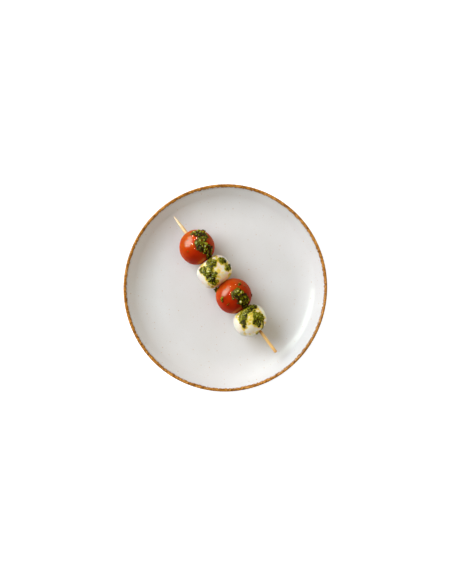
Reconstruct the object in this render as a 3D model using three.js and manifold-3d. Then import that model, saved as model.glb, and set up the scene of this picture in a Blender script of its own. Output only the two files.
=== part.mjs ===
// A caprese skewer on its plate: two cherry tomatoes and two mozzarella balls on a bamboo stick,
// each dabbed with basil pesto, lying on a round stoneware coupe plate.
//
// Millimetres, +Z up. The origin is the centre of the plate's foot, on the table. +Y points to the
// top of the picture, seen from above, and +X to its right.
//
// The skewer is modelled in a frame of its own: x runs along the stick from its point, y across it
// and z up. One turned group then lays it on the plate.
import * as THREE from "three";
import { mergeVertices } from "three/addons/utils/BufferGeometryUtils.js";
import Module from "manifold-3d";

const wasm = await Module();
wasm.setup();

// ---------------------------------------------------------------- driving dimensions

const STICK_LENGTH = 150;
const STICK_RADIUS = 1.56; // at the shoulder of its point
const STICK_END_RADIUS = 1.34; // the split bamboo gets a little thinner towards its blunt end
const STICK_TAPER = 13; // the whittled stretch behind the point
const STICK_POINT_RADIUS = 0.38;
const STICK_SIDES = 12;

const PLATE_RADIUS = 91.1;
const PLATE_HEIGHT = 20.8;
const PLATE_OVAL = 0.0095; // the hand-turned rim is this much longer one way and shorter the other
const PLATE_OVAL_TURN_DEG = -8;
const PLATE_SIDES = 72;
const FLOOR_HEIGHT = 6; // top of the plate's flat floor
const FLOOR_RADIUS = 60;
const WALL_FOOT_RADIUS = 81; // where the floor's curve meets the steep wall
const WALL_FOOT_HEIGHT = 12.6;
const FOOT_OUTER_RADIUS = 56;
const FOOT_INNER_RADIUS = 51.5;
const FOOT_RECESS = 1.4;

const GAP = 0.3; // clearance between neighbouring pieces
const POINT_X = -45.15; // where the skewer's point hangs over the plate
const POINT_Y = 63.25;
const SKEWER_TURN_DEG = -53.07;
const STICK_Y = -0.3; // the stick's line, a little beside the frame's x axis

const BALL_RINGS = 17; // from pole to pole
const BALL_SIDES = 28; // around the stick

const LUMP_SPACING = 2.55; // between neighbouring lumps of pesto
const LUMP_RADIUS = 1.45;
const LUMP_HEIGHT = 0.95;
const LUMP_ROUGHNESS = 0.28;

const CREASES = [47.9, 73.3, 101.8]; // where neighbouring balls meet, along the stick

// A ball's ends are superellipses: squareness 2 is round, more is pressed flat by its neighbour.
// A dab of pesto is an oval patch: x and y from the ball's centre as seen from above, its two
// half sizes, and its turn in degrees.
const BALLS = [
  {
    name: "cherry_tomato_1",
    material: "tomato",
    x: 33.7,
    y: -0.35,
    radius: 15.55,
    start: { length: 15.5, squareness: 2 },
    end: { length: 15.1, squareness: 2.22 },
    dabs: [
      [-11.4, 4.9, 2.5, 1.5, 70],
      [-9.2, 10.3, 3.6, 1.6, 62],
      [-4.0, 12.2, 2.6, 1.0, -8],
      [-3.6, 4.2, 1.9, 4.6, 0],
      [1.6, 5.4, 4.6, 3.2, 0],
      [3.2, 0.9, 2.9, 1.7, 0],
      [7.6, 4.9, 4.3, 4.2, -25],
      [11.8, 4.2, 1.5, 3.6, 0],
    ],
  },
  {
    name: "mozzarella_ball_1",
    material: "mozzarella",
    x: 60.5,
    y: -1,
    radius: 15.3,
    start: { length: 12.4, squareness: 2.8 },
    end: { length: 12.5, squareness: 2.75 },
    dabs: [
      [-3.2, 11.4, 2.9, 2.2, -8],
      [4.4, 11.6, 2.3, 2.6, 0],
      [-6.6, 2.8, 2.6, 4.3, 8],
      [-6.9, -7.7, 3.2, 2.6, 0],
      [0.3, -5.9, 3.3, 3.2, -20],
      [6.0, -5.9, 3.5, 2.8, 0],
      [2.2, -0.5, 1.5, 0.8, -40],
    ],
  },
  {
    name: "cherry_tomato_2",
    material: "tomato",
    x: 88,
    y: -0.35,
    radius: 15.85,
    start: { length: 15.6, squareness: 2.05 },
    end: { length: 15, squareness: 2.1 },
    dabs: [
      [-0.3, 4.0, 3.2, 4.8, 0],
      [7.4, 6.4, 3.6, 3.7, 0],
      [6.6, 1.2, 2.8, 1.9, -10],
      [11.6, 3.4, 1.6, 2.6, 0],
      [-5.2, 10.0, 0.7, 1.4, 0],
      [-4.0, -9.8, 1.0, 2.2, 35],
      [-13.0, -9.4, 1.2, 1.5, 0],
    ],
  },
  {
    name: "mozzarella_ball_2",
    material: "mozzarella",
    x: 113.6,
    y: -1.8,
    radius: 14.8,
    start: { length: 12.4, squareness: 2.3 },
    end: { length: 12.8, squareness: 2.25 },
    dabs: [
      [-7.0, 11.2, 2.0, 1.9, 0],
      [-8.6, 6.6, 2.2, 3.2, 10],
      [-7.7, 0.8, 2.1, 3.8, 12],
      [-5.6, -5.2, 3.2, 2.7, -40],
      [-1.4, -6.3, 3.0, 1.7, -15],
      [2.2, 7.4, 4.2, 2.9, 25],
      [6.0, 5.0, 3.6, 4.0, -35],
      [11.6, 5.4, 2.3, 0.7, -55],
    ],
  },
];

const MATERIALS = {
  stoneware: new THREE.MeshStandardMaterial({ color: 0xdcdad6, roughness: 0.45, metalness: 0 }),
  bamboo: new THREE.MeshStandardMaterial({ color: 0xe6bd7c, roughness: 0.7, metalness: 0 }),
  tomato: new THREE.MeshStandardMaterial({ color: 0xbf3410, roughness: 0.2, metalness: 0 }),
  mozzarella: new THREE.MeshStandardMaterial({ color: 0xf3ead4, roughness: 0.4, metalness: 0 }),
};

// ---------------------------------------------------------------- helpers

/** A repeatable random number from 0 to 1 for each call. */
function randomSource(seed) {
  let state = seed >>> 0;
  return () => {
    state = (state + 0x6d2b79f5) >>> 0;
    let t = Math.imul(state ^ (state >>> 15), 1 | state);
    t = (t + Math.imul(t ^ (t >>> 7), 61 | t)) ^ t;
    return ((t ^ (t >>> 14)) >>> 0) / 4294967296;
  };
}

/** A three.js geometry as a solid that can be joined and cut. */
function solidOf(geometry) {
  const bare = geometry.clone();
  bare.deleteAttribute("normal");
  bare.deleteAttribute("uv");
  const merged = mergeVertices(bare, 1e-4);
  return new wasm.Manifold(
    new wasm.Mesh({
      numProp: 3,
      vertProperties: merged.attributes.position.array,
      triVerts: new Uint32Array(merged.index.array),
    }),
  );
}

/** A joined or cut solid as a three.js geometry. */
function geometryOf(solid) {
  const mesh = solid.getMesh();
  const geometry = new THREE.BufferGeometry();
  geometry.setAttribute("position", new THREE.BufferAttribute(mesh.vertProperties, 3));
  geometry.setIndex(new THREE.BufferAttribute(mesh.triVerts, 1));
  geometry.computeVertexNormals();
  return geometry;
}

/** The largest of a solid's separate skins, without hollows sealed inside it or loose scraps. */
function mainSkin(solid) {
  const skins = solid.decompose();
  return skins.reduce((largest, skin) => (skin.volume() > largest.volume() ? skin : largest));
}

function namedMesh(name, geometry, material) {
  const mesh = new THREE.Mesh(geometry, MATERIALS[material]);
  mesh.name = name;
  return mesh;
}

// ---------------------------------------------------------------- the plate

/** The plate's half section, from the middle of its floor over the rim to the middle of its base. */
function plateProfile() {
  const lip = 1.75; // half the rim's thickness
  const rimRadius = PLATE_RADIUS - lip;
  const wallTop = new THREE.Vector2(rimRadius - lip, PLATE_HEIGHT - 2.2);
  const section = new THREE.Path();
  section.moveTo(0, FLOOR_HEIGHT);
  section.lineTo(FLOOR_RADIUS, FLOOR_HEIGHT);
  section.bezierCurveTo(
    FLOOR_RADIUS + 8,
    FLOOR_HEIGHT,
    WALL_FOOT_RADIUS - 5,
    WALL_FOOT_HEIGHT - 3.8,
    WALL_FOOT_RADIUS,
    WALL_FOOT_HEIGHT,
  );
  section.lineTo(wallTop.x, wallTop.y);
  section.bezierCurveTo(
    wallTop.x + 1,
    PLATE_HEIGHT,
    PLATE_RADIUS,
    PLATE_HEIGHT + 0.6,
    PLATE_RADIUS,
    PLATE_HEIGHT - 2,
  );
  section.bezierCurveTo(PLATE_RADIUS - 1.5, 11, 80, 4.4, FOOT_OUTER_RADIUS + 3, 2.2);
  section.lineTo(FOOT_OUTER_RADIUS, 0);
  section.lineTo(FOOT_INNER_RADIUS, 0);
  section.lineTo(FOOT_INNER_RADIUS - 1.5, FOOT_RECESS);
  section.lineTo(0, FOOT_RECESS);
  return section.getPoints(5);
}

function buildPlate() {
  const geometry = new THREE.LatheGeometry(plateProfile().reverse(), PLATE_SIDES);
  geometry.rotateX(Math.PI / 2);
  geometry.rotateZ(THREE.MathUtils.degToRad(-PLATE_OVAL_TURN_DEG));
  geometry.scale(1 - PLATE_OVAL, 1 + PLATE_OVAL, 1);
  geometry.rotateZ(THREE.MathUtils.degToRad(PLATE_OVAL_TURN_DEG));
  return namedMesh("plate", geometryOf(solidOf(geometry)), "stoneware");
}

// ---------------------------------------------------------------- the stick

function buildStick() {
  const rings = [
    [0, 0],
    [STICK_POINT_RADIUS, 0.15],
    [0.56 * STICK_RADIUS, 0.3 * STICK_TAPER],
    [0.8 * STICK_RADIUS, 0.65 * STICK_TAPER],
    [STICK_RADIUS, STICK_TAPER],
    [STICK_END_RADIUS, STICK_LENGTH - 0.3],
    [STICK_END_RADIUS - 0.25, STICK_LENGTH],
    [0, STICK_LENGTH],
  ].map(([radius, along]) => new THREE.Vector2(radius, along));
  const geometry = new THREE.LatheGeometry(rings, STICK_SIDES);
  geometry.rotateZ(-Math.PI / 2);
  geometry.translate(0, STICK_Y, 0);
  return namedMesh("bamboo_stick", geometryOf(solidOf(geometry)), "bamboo");
}

/** The hole that the stick pierces, wider than the stick by the gap. */
function pierceHole() {
  const radius = STICK_RADIUS + GAP;
  const hole = new THREE.CylinderGeometry(radius, radius, STICK_LENGTH, STICK_SIDES);
  hole.rotateZ(Math.PI / 2);
  hole.translate(STICK_LENGTH / 2, STICK_Y, 0);
  return solidOf(hole);
}

// ---------------------------------------------------------------- tomatoes and mozzarella

/** The ball's end that lies towards x, as seen from its centre. */
const endTowards = (ball, x) => (x < 0 ? ball.start : ball.end);

/** The radius of the ball's round section at x from its centre. */
function sectionRadius(ball, x) {
  const { length, squareness } = endTowards(ball, x);
  const share = Math.min(1, Math.abs(x) / length);
  return ball.radius * (1 - share ** squareness) ** (1 / squareness);
}

/** How far the ball stands off its even form, as a share of its radius. */
function unevenness(ball, x, angle) {
  const depth = ball.material === "mozzarella" ? 0.014 : 0.005;
  const long = Math.sin(2 * angle + ball.x) + 0.7 * Math.sin(3 * angle - 0.2 * x + 2 * ball.x);
  return depth * long * (1 - Math.min(1, Math.abs(x) / ball.radius) ** 2);
}

/** The ball's height over the stick's line: the softer cheese hangs a little on the stick. */
const ballDrop = (ball) => (ball.material === "mozzarella" ? 0.55 : LARGEST_RADIUS - ball.radius);

function buildBall(ball) {
  const geometry = new THREE.SphereGeometry(1, BALL_SIDES, BALL_RINGS);
  geometry.rotateZ(Math.PI / 2); // the poles lie on the stick
  const position = geometry.attributes.position;
  const p = new THREE.Vector3();
  for (let i = 0; i < position.count; i++) {
    p.fromBufferAttribute(position, i);
    const { length, squareness } = endTowards(ball, p.x);
    const angle = Math.atan2(p.z, p.y);
    const x = Math.sign(p.x) * length * Math.abs(p.x) ** (2 / squareness);
    const around = ball.radius * Math.hypot(p.y, p.z) ** (2 / squareness);
    const radius = around * (1 + unevenness(ball, x, angle));
    position.setXYZ(i, x, radius * Math.cos(angle), radius * Math.sin(angle));
  }
  return solidOf(geometry);
}

/** One lump of chopped basil: a squashed, ragged ball. */
function buildLump(random) {
  const lump = new THREE.IcosahedronGeometry(1, 0);
  const merged = mergeVertices(new THREE.BufferGeometry().setAttribute("position", lump.attributes.position));
  const position = merged.attributes.position;
  for (let i = 0; i < position.count; i++) {
    const swell = 1 + LUMP_ROUGHNESS * (2 * random() - 1);
    position.setXYZ(i, position.getX(i) * swell, position.getY(i) * swell, position.getZ(i) * swell);
  }
  const size = 0.8 + 0.45 * random();
  merged.scale(LUMP_RADIUS * size * 1.15, LUMP_RADIUS * size, LUMP_HEIGHT * size);
  merged.rotateZ(2 * Math.PI * random());
  return merged;
}

/** Where the lumps of a dab lie: evenly spread in its oval, each shifted by a little. */
function lumpPlaces(dab, random) {
  const [x, y, halfLength, halfWidth, turnDeg] = dab;
  const count = Math.max(1, Math.round((Math.PI * halfLength * halfWidth) / LUMP_SPACING ** 2));
  const golden = Math.PI * (3 - Math.sqrt(5));
  const turn = THREE.MathUtils.degToRad(turnDeg);
  const places = [];
  for (let k = 0; k < count; k++) {
    const reach = Math.sqrt((k + 0.35) / count) * 0.9;
    const a = k * golden + 0.5 * random();
    const along = halfLength * reach * Math.cos(a);
    const across = halfWidth * reach * Math.sin(a);
    places.push([
      x + along * Math.cos(turn) - across * Math.sin(turn),
      y + along * Math.sin(turn) + across * Math.cos(turn),
    ]);
  }
  return places;
}

/** All the pesto on a ball, each lump seated on its upper side. */
function buildPesto(ball, random) {
  const lumps = [];
  for (const dab of ball.dabs) {
    for (const [x, y] of lumpPlaces(dab, random)) {
      const kept = THREE.MathUtils.clamp(x, -0.93 * ball.start.length, 0.93 * ball.end.length);
      const radius = sectionRadius(ball, kept);
      const across = THREE.MathUtils.clamp(y, -0.97 * radius, 0.97 * radius);
      const height = Math.sqrt(radius ** 2 - across ** 2);
      const lean = (sectionRadius(ball, kept - 0.5) - sectionRadius(ball, kept + 0.5)) * radius;
      const outward = new THREE.Vector3(lean, across, height).normalize();
      const lump = buildLump(random);
      lump.applyQuaternion(new THREE.Quaternion().setFromUnitVectors(new THREE.Vector3(0, 0, 1), outward));
      lump.translate(kept, across, height);
      lumps.push(solidOf(lump));
    }
  }
  return lumps.reduce((joined, lump) => joined.add(lump));
}

/** A slab across the stick, between the creases where a ball meets its neighbours. */
function slabBetweenCreases(index) {
  const low = index > 0 ? CREASES[index - 1] + GAP / 2 : 0;
  const high = index < CREASES.length ? CREASES[index] - GAP / 2 : STICK_LENGTH;
  const slab = new THREE.BoxGeometry(high - low, 4 * LARGEST_RADIUS, 4 * LARGEST_RADIUS);
  slab.translate((low + high) / 2, 0, 0);
  return solidOf(slab);
}

/** A ball set in its place on the stick, grown all round by a margin. */
function placedBall(ball, margin = 0) {
  const growth = 1 + margin / ball.radius;
  return buildBall(ball).scale([growth, growth, growth]).translate([ball.x, ball.y, -ballDrop(ball)]);
}

function buildFood(ball, index, hole) {
  const random = randomSource(101 + index);
  const pesto = buildPesto(ball, random).translate([ball.x, ball.y, -ballDrop(ball)]);
  let whole = placedBall(ball).add(pesto.intersect(slabBetweenCreases(index)));
  if (ball.material === "mozzarella") {
    // the soft cheese is dented by the tomatoes pushed against it
    const tomatoes = BALLS.filter((other) => other.material === "tomato");
    whole = tomatoes.reduce((left, tomato) => left.subtract(placedBall(tomato, GAP)), whole);
  }
  return namedMesh(ball.name, geometryOf(mainSkin(whole.subtract(hole))), ball.material);
}

// ---------------------------------------------------------------- the whole

const LARGEST_RADIUS = Math.max(...BALLS.map((ball) => ball.radius));

function buildSkewer() {
  const skewer = new THREE.Group();
  const hole = pierceHole();
  skewer.add(buildStick());
  BALLS.forEach((ball, index) => skewer.add(buildFood(ball, index, hole)));
  skewer.position.set(POINT_X, POINT_Y, FLOOR_HEIGHT + LARGEST_RADIUS + GAP);
  skewer.rotation.z = THREE.MathUtils.degToRad(SKEWER_TURN_DEG);
  return skewer;
}

const dish = new THREE.Group();
dish.add(buildPlate(), buildSkewer());

export default dish;
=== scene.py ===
"""The looks of a plate with a caprese skewer.

Two cherry tomatoes and two mozzarella balls on a bamboo stick, dabbed with basil pesto, lie on a
round stoneware plate with a brown rim. Every shape is worked out in millimetres. What belongs to
the skewer is made in the skewer's own frame, with x along the stick from its point, y across it
and z up, and each such piece is then laid on the plate as a whole.
"""

import math
import random

import bmesh
import bpy
import numpy as np
from mathutils import Matrix, Vector, kdtree, noise


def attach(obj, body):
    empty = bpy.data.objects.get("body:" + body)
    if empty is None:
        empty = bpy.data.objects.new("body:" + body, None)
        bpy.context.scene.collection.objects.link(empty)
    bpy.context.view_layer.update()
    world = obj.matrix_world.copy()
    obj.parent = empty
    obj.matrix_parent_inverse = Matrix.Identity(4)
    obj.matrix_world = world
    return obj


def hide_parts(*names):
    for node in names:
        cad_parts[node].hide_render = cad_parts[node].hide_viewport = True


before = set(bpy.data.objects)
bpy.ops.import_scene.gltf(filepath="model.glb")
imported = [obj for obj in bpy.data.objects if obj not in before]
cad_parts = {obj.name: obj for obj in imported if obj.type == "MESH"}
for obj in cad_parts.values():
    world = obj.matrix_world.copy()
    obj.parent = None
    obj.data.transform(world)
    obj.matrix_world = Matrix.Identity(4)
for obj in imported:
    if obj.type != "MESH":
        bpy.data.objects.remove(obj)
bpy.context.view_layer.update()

MM = 0.001

# ---------------------------------------------------------------- sizes, in mm

PLATE_RADIUS = 91.1
PLATE_HEIGHT = 20.8
PLATE_OVAL = 0.0095
PLATE_OVAL_TURN = math.radians(-8)
PLATE_SIDES = 320
FLOOR_HEIGHT = 6.0
FLOOR_RADIUS = 60.0
WALL_FOOT = (81.0, 12.6)
LIP = 1.75
FOOT_OUTER_RADIUS = 56.0
FOOT_INNER_RADIUS = 51.5
FOOT_RECESS = 1.4
BARE_RIM_START = 88.05  # where the glaze stops, on the way up the wall
BARE_RIM_END = 17.2  # and the height where it starts again outside
RIM_CLIP = 3  # nothing changes farther than this from the bare rim's borders

STICK_LENGTH = 150.0
STICK_RADIUS = 1.56  # at the shoulder of its point
STICK_END_RADIUS = 1.34
# how far from the point the stick has each share of its radius
STICK_TAPER = [
    (0.0, 0.2), (1.0, 0.28), (3.0, 0.47), (5.0, 0.62), (7.0, 0.72), (9.0, 0.83), (11.0, 0.94), (13.0, 1.0),
]
STICK_TIP_RADIUS = 0.12
STICK_END_BEVEL = 0.22
STICK_SIDES = 48
STICK_Y = -0.3

GAP = 0.3
POINT = (-45.15, 63.25)
SKEWER_TURN = math.radians(-53.07)

# A ball's ends are superellipses, as (length, squareness). start is the end nearer the stick's point,
# and knot is a pinched place as (x, y, radius).
BALLS = {
    # a tomato's last number darkens all of it towards deep red: partly ripeness, partly painted shade
    "tomato_1": dict(x=33.7, y=-0.35, radius=15.55, start=(15.5, 2.0), end=(15.1, 2.22), seed=11, ripe_and_shade=0.0),
    "mozzarella_1": dict(x=60.5, y=-1.0, radius=15.3, start=(12.4, 2.8), end=(12.5, 2.75), seed=23),
    "tomato_2": dict(x=88.0, y=-0.35, radius=15.85, start=(15.6, 2.05), end=(15.0, 2.1), seed=37, ripe_and_shade=0.32),
    "mozzarella_2": dict(
        x=113.6, y=-1.8, radius=14.8, start=(12.4, 2.3), end=(12.8, 2.25), seed=41, knot=(121.6, -6.6, 5.2)
    ),
}
NODES = {
    "tomato_1": "cherry_tomato_1",
    "mozzarella_1": "mozzarella_ball_1",
    "tomato_2": "cherry_tomato_2",
    "mozzarella_2": "mozzarella_ball_2",
}
LARGEST_RADIUS = max(ball["radius"] for ball in BALLS.values())
STICK_HEIGHT = FLOOR_HEIGHT + LARGEST_RADIUS + GAP
CHEESE_DROP = 0.55
NEIGHBOUR_REACH = 40.0  # balls whose middles are closer than this along the stick touch each other
BALL_RINGS = 150
BALL_SIDES = 200
for key, ball in BALLS.items():
    ball["cheese"] = key.startswith("mozzarella")
    ball["z"] = -CHEESE_DROP if ball["cheese"] else ball["radius"] - LARGEST_RADIUS

PASTE_VOXEL = 0.2  # the grain of the pesto's joined skin
# painted shade: the paste under the loose leaves is kept this dark, partly as its own colour
DARK_BED = 0.42  # the lightest tone of the paste under the loose leaves
# the pale crumbs stand partly for painted glints on the wet pesto
PALE_CRUMB = 0.55  # dabs with a lighter tone than this carry crumbs of cheese
WET_LEAF_LIFT = 1.25

TABLE_REACH = 6000.0
TABLE_GAP = 0.2  # between the foot and the table, so that the two don't flicker
CAMERA_OVER = (0.57, -3.66)  # the plate's place that the camera is above
CAMERA_RISE = 1000.0  # above the stick
WINDOW_DISTANCE = 1.1  # in metres, as are the heights of its panes
WINDOW_WIDTH = 1.27
WINDOW_TURN = math.radians(149)
PHOTO_PIXELS = (452, 584)
PIXELS_PER_MM = 1.1328
SENSOR = 36.0
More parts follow.
